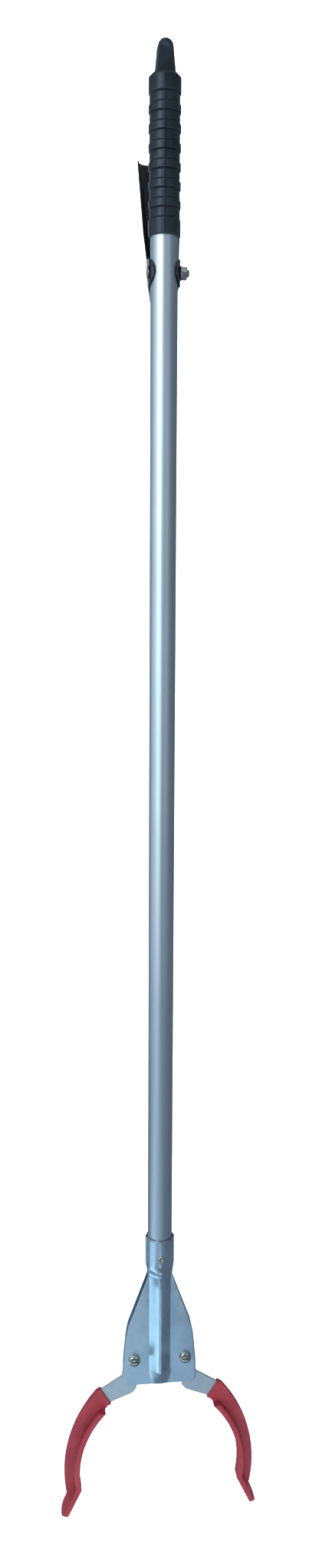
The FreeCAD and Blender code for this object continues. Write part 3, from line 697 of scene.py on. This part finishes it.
def straight(value, stops):
    """Straight interpolation through (position, value) stops, positions falling."""
    if value >= stops[0][0]:
        return stops[0][1]
    for (z0, v0), (z1, v1) in zip(stops, stops[1:]):
        if value >= z1:
            return v0 + (v1 - v0) * (z0 - value) / (z0 - z1)
    return stops[-1][1]


def plate_half_width(z):
    """The pressed plate's outline: collar lips, waist, straight flare, full width and rounded corners."""
    half = straight(z, [(height * MM, width * MM) for height, width in OUTLINE])
    into_corner = CORNER_START - z
    if into_corner > 0:
        half -= CORNER_R - math.sqrt(max(0.0, CORNER_R ** 2 - into_corner ** 2))
    return half


def plate_point(z, column, columns_flat, columns_ridge):
    """One point of the plate's outer face: flat wing, rounded ridge, flat wing."""
    pressed = eased(z, [(COLLAR_END, 0.0), (WAIST, 1.0)])
    widths = [(COLLAR_END, 10.62), (WAIST, 8.6), (RIDGE_END, 8.4), (PLATE_BOTTOM, 7.0)]
    ridge_half = eased(z, widths) * MM
    if z > RIDGE_END:
        crest = eased(z, [(COLLAR_END, 10.7), (-888 * MM, 9.9), (-898 * MM, 11.7), (RIDGE_END, 11.8)])
    else:
        crest = straight(z, [(RIDGE_END, 11.8), (PLATE_BOTTOM, 4.5)])
    crest *= MM
    flat = eased(z, [(COLLAR_END, LIP_Y), (-891 * MM, FLAT_Y)])
    half_width = max(plate_half_width(z), ridge_half + 0.25 * MM)
    if column < columns_flat:
        x = -half_width + (half_width - ridge_half) * column / columns_flat
        return Vector((x, -flat, z))
    if column > columns_flat + columns_ridge:
        past = column - columns_flat - columns_ridge
        x = ridge_half + (half_width - ridge_half) * past / columns_flat
        return Vector((x, -flat, z))
    u = 2 * (column - columns_flat) / columns_ridge - 1
    s = math.sin(math.pi / 2 * u) * (1 - pressed) + u * pressed
    x = ridge_half * s
    round_rise = math.sqrt(max(0.0, 1 - (x / COLLAR_R) ** 2)) * COLLAR_R - LIP_Y
    shoulder = 0.5 * (0.5 + 0.5 * math.cos(math.pi * s)) + 0.5 * (1 - s * s)
    rise = max(0.0, round_rise) * (1 - pressed) + (crest - flat) * shoulder * pressed
    return Vector((x, -flat - rise, z))


def sheet_waviness(x, z):
    """Slight waviness of the pressed wings, with a shallow dish round each screw."""
    wave = noise.noise(Vector((x * 60, z * 45, 1.7))) * WAVE_HEIGHT
    for pivot in JAW_PIVOTS.values():
        away = math.hypot(x - pivot.x, z - pivot.z) / DISH_R
        wave -= DISH_DEPTH * math.exp(-away * away)
    clear_of_ridge = min(1.0, max(0.0, (abs(x) - RIDGE_FOOT) / FOOT_FADE))
    return wave * clear_of_ridge


def make_head_plate(name, node, facing):
    """Pressed sheet laid out as a grid, thickened inwards and edge-rounded, its screw holes left out."""
    columns_flat, columns_ridge = 12, 56
    total = 2 * columns_flat + columns_ridge + 1
    levels = [COLLAR_TOP]
    bands = ((COLLAR_END, 14), (RIDGE_START, 30), (RIDGE_END, 36), (CORNER_START, 12))
    for end, count in bands:
        start = levels[-1]
        levels += [start + (end - start) * i / count for i in range(1, count + 1)]
    levels += [CORNER_START - CORNER_R * math.sin(math.pi / 2 * i / 10) for i in range(1, 11)]
    vertices = []
    for z in levels:
        for column in range(total):
            inside = max(z, PLATE_BOTTOM + 0.001 * MM)
            point = plate_point(inside, column, columns_flat, columns_ridge)
            share = min(1.0, max(0.0, (CALM_START - z) / CALM_LENGTH))
            dented = point.y + (WING_SETBACK + sheet_waviness(point.x, z)) * share
            vertices.append((point.x, dented * facing, z))
    plate = mesh_object(name, vertices, grid_faces(len(levels), total, False))
    work = bmesh.new()
    work.from_mesh(plate.data)
    work.faces.ensure_lookup_table()
    if work.faces[len(work.faces) // 2].normal.y * facing > 0:
        bmesh.ops.reverse_faces(work, faces=work.faces)
    work.to_mesh(plate.data)
    work.free()
    thick = plate.modifiers.new("sheet", "SOLIDIFY")
    thick.thickness = SHEET
    thick.offset = -1.0
    thick.use_even_offset = True
    thick.thickness_clamp = 1.0
    edge = plate.modifiers.new("edge", "BEVEL")
    edge.width = 0.22 * MM
    edge.segments = 2
    edge.limit_method = "ANGLE"
    edge.angle_limit = math.radians(60)
    bake_modifiers(plate)
    shade(plate, 40)
    place(plate, "frame", PLATE, "plate_zinc", node)


make_head_plate("head_plate_front_skin", "head_plate_front", 1)
make_head_plate("head_plate_back_skin", "head_plate_back", -1)


# ---------------------------------------------------------------- head fasteners
SCREW_HEAD_R = 4.75 * MM
RECESS_WIDTH = 5.2 * MM
RIVET_HEAD_R = 3.15 * MM
RIVET_SHANK_R = 1.6 * MM
RIVET_TAIL_R = 2.4 * MM
RIVET_SEAT = 10.5 * MM


def make_jaw_screw(side):
    """Phillips pan-head screw through both plates, with its thread showing past the nut."""
    pivot = JAW_PIVOTS[side]
    screw_low, screw_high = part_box("jaw_screw_" + side)
    nut_low, nut_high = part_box("jaw_nut_" + side)
    centre = Vector((pivot.x, 0, pivot.z))
    top = -screw_low.y
    seat = FLAT_Y
    thread_start = 4.5 * MM
    head = [(POLE_R, -top), (2.2 * MM, -top + 0.10 * MM), (3.5 * MM, -top + 0.45 * MM)]
    head += [(4.35 * MM, -top + 1.05 * MM), (SCREW_HEAD_R, -top + 1.9 * MM)]
    head += [(SCREW_HEAD_R, -seat - 0.15 * MM), (4.55 * MM, -seat), (BOLT_R, -seat), (BOLT_R, thread_start)]
    blank = lathe("blank", rounded_profile(head, 0.25 * MM), centre, (0, 1, 0), None, 72)
    face = centre + Vector((0, -top, 0))
    cut_with(blank, cross_cutter((top - seat) * 0.62, RECESS_WIDTH, face, Vector((0, 1, 0))))
    root = thread_start - OVERLAP
    thread = threaded("thread", BOLT_R, THREAD_PITCH, centre, (0, 1, 0), root, screw_high.y)
    screw = join_meshes("jaw_screw_" + side + "_turned", [blank, thread])
    shade(screw, 30)
    place(screw, "frame", SCREW, "screw_steel", "jaw_screw_" + side)
    start = Vector((pivot.x, nut_low.y, pivot.z))
    nut = hex_nut("jaw_nut_" + side + "_cut", nut_high.y - nut_low.y, start, (0, 1, 0), 0.3)
    place(nut, "frame", FASTENER, "fastener_steel", "jaw_nut_" + side)


def make_rivets():
    """Domed blind rivets, one in each half of the collar."""
    rivet_low, rivet_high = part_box("collar_rivets")
    z = (rivet_low.z + rivet_high.z) / 2
    made = []
    for outward in (-1, 1):
        top = rivet_high.y
        dome = [(RIVET_SHANK_R, 6.6 * MM), (RIVET_TAIL_R, 6.6 * MM), (RIVET_TAIL_R, 8.0 * MM)]
        dome += [(RIVET_SHANK_R, 8.1 * MM), (RIVET_SHANK_R, RIVET_SEAT), (RIVET_HEAD_R, RIVET_SEAT)]
        dome += [(RIVET_HEAD_R, RIVET_SEAT + 0.55 * MM), (2.7 * MM, top - 0.45 * MM)]
        dome += [(1.7 * MM, top - 0.08 * MM), (1.15 * MM, top - 0.02 * MM), (1.0 * MM, top - 0.5 * MM)]
        dome += [(POLE_R, top - 0.55 * MM)]
        axis = (0, outward, 0)
        made.append(lathe("rivet", rounded_profile(dome, 0.2 * MM), Vector((0, 0, z)), axis, None, 56))
    rivets = join_meshes("collar_rivets_domed", made)
    shade(rivets, 35)
    place(rivets, "frame", RIVET, "rivet_aluminium", "collar_rivets")


for side_name in ("left", "right"):
    make_jaw_screw(side_name)
make_rivets()


# ---------------------------------------------------------------- jaw covers
COVER_VOXEL = 0.55 * MM
SKIN_SWELL = 0.06 * MM


def make_jaw_cover(side):
    """Dipped cover: the CAD shell remeshed, its edges flowed round and its skin slightly uneven."""
    node = "jaw_cover_" + side
    source = frame["nodes"][node]
    cover = bpy.data.objects.new(node + "_dipped", source.data.copy())
    scene.collection.objects.link(cover)
    clean_normals(cover)
    even = cover.modifiers.new("even", "REMESH")
    even.mode = "VOXEL"
    even.voxel_size = COVER_VOXEL
    even.use_smooth_shade = True
    flow = cover.modifiers.new("flow", "SMOOTH")
    flow.factor = 0.5
    flow.iterations = 5
    bake_modifiers(cover)
    low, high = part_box(node)
    skin = []
    for vertex, facing in zip(cover.data.vertices, cover.data.vertex_normals):
        moved = vertex.co + facing.vector * (noise.noise(vertex.co * 120.0) * SKIN_SWELL)
        skin += [min(max(moved[i], low[i]), high[i]) for i in range(3)]
    cover.data.vertices.foreach_set("co", skin)
    cover.data.update()
    cover.data.shade_smooth()
    place(cover, "jaw_" + side, COVER, "cover_rubber", node)


for side_name in ("left", "right"):
    make_jaw_cover(side_name)


# ---------------------------------------------------------------- studio
FLOOR_DROP = 0.45
WALL_HEIGHT = 4.5


def make_backdrop():
    """A pale seamless bowl all round: flat floor below the object, curving up to a wall."""
    floor_z = cad_low.z - FLOOR_DROP
    wall, bend = 6.0, 2.0
    segments = 96
    outline = [(0.05, floor_z), (1.0, floor_z), (wall - bend, floor_z)]
    for i in range(1, 25):
        angle = math.pi / 2 * i / 24
        outline.append((wall - bend + bend * math.sin(angle), floor_z + bend * (1 - math.cos(angle))))
    outline.append((wall, floor_z + WALL_HEIGHT))
    turns = [2 * math.pi * j / segments for j in range(segments)]
    vertices = [(r * math.cos(a), r * math.sin(a), z) for r, z in outline for a in turns]
    faces = grid_faces(len(outline), segments, True) + [tuple(range(segments))]
    bowl = mesh_object("studio_bowl", vertices, faces)
    if bowl.data.polygons[-1].normal.z < 0:
        bowl.data.flip_normals()
    bowl.data.materials.append(floor_finish())
    bowl.visible_glossy = False
    bowl.visible_shadow = False


def softbox(name, place_at, look_at, size, radiance, colour):
    """A rectangular soft lamp, set by the brightness of its face."""
    data = bpy.data.lights.new(name, "AREA")
    data.shape = "RECTANGLE"
    data.size, data.size_y = size
    data.energy = radiance * math.pi * size[0] * size[1]
    data.color = colour
    lamp = bpy.data.objects.new(name, data)
    lamp.location = place_at
    lamp.rotation_mode = "QUATERNION"
    lamp.rotation_quaternion = (Vector(look_at) - Vector(place_at)).to_track_quat("-Z", "Y")
    lamp.visible_camera = False
    scene.collection.objects.link(lamp)


def make_lights():
    """A tall softbox at the left that dims and cools downwards, a low panel for the head, and weak fill."""
    softbox("key_high", (-0.52, -0.60, 0.20), (0, 0, 0.05), (0.44, 0.70), 4.2, (0.82, 0.94, 1.0))
    softbox("key_middle", (-0.52, -0.60, -0.46), (0, 0, -0.46), (0.44, 0.60), 2.3, (0.80, 0.93, 1.0))
    softbox("key_low", (-0.52, -0.60, -1.06), (0, 0, -0.98), (0.40, 0.56), 0.62, (0.44, 0.70, 1.0))
    softbox("left_wall", (-1.25, -0.10, -0.30), (0, 0, -0.30), (1.3, 1.5), 0.66, (0.70, 0.86, 1.0))
    softbox("front_right", (0.50, -0.98, -0.20), (0, 0, -0.20), (0.5, 1.3), 0.60, (0.76, 0.88, 1.0))
    softbox("back_left", (-0.42, 1.35, 0.05), (0, 0, -0.30), (0.40, 1.1), 0.9, (0.88, 0.95, 1.0))
    softbox("head_panel", (-0.10, -0.62, -1.70), (0, 0, -0.97), (0.8, 0.44), 0.72, (0.46, 0.74, 1.0))
    softbox("head_side", (-0.74, -0.20, -1.58), (0, 0, -0.97), (0.7, 0.44), 1.7, (0.54, 0.82, 1.0))
    softbox("head_glint", (-0.05, -0.66, -1.33), (0, 0, -0.95), (0.16, 0.06), 3.0, (0.9, 0.96, 1.0))
    softbox("fill_top", (-0.2, -0.3, 1.3), (0, 0, -0.6), (0.9, 0.9), 0.8, (0.92, 0.96, 1.0))
    world = bpy.data.worlds.new("studio")
    scene.world = world
    world.use_nodes = True
    sky = world.node_tree.nodes["Background"]
    sky.inputs["Color"].default_value = (0.62, 0.80, 1.0, 1)
    sky.inputs["Strength"].default_value = 0.20


def make_camera():
    """Long view from the front left, looking down about 10 degrees, the whole length in frame."""
    azimuth = math.radians(-6.5)
    pitch = math.radians(9.9)
    roll = math.radians(0.20)
    distance, side_step, height = 0.862, 0.00538, -0.345
    right = Vector((math.cos(azimuth), math.sin(azimuth), 0))
    ahead = Vector((-math.sin(azimuth), math.cos(azimuth), 0))
    forward = ahead * math.cos(pitch) - Vector((0, 0, 1)) * math.sin(pitch)
    up = right.cross(forward)
    rolled_right = right * math.cos(roll) + up * math.sin(roll)
    rolled_up = up * math.cos(roll) - right * math.sin(roll)
    data = bpy.data.cameras.new("camera")
    data.sensor_fit = "AUTO"
    data.sensor_width = 36.0
    data.lens = 27.18
    data.clip_start, data.clip_end = 0.01, 50.0
    camera = bpy.data.objects.new("camera", data)
    axes = Matrix((rolled_right, rolled_up, -forward)).transposed()
    stand = Vector((0, 0, height)) - ahead * distance - right * side_step
    camera.matrix_world = Matrix.Translation(stand) @ axes.to_4x4()
    scene.collection.objects.link(camera)
    scene.camera = camera


make_backdrop()
make_lights()
make_camera()
scene.view_settings.view_transform = "Standard"
scene.view_settings.look = "None"
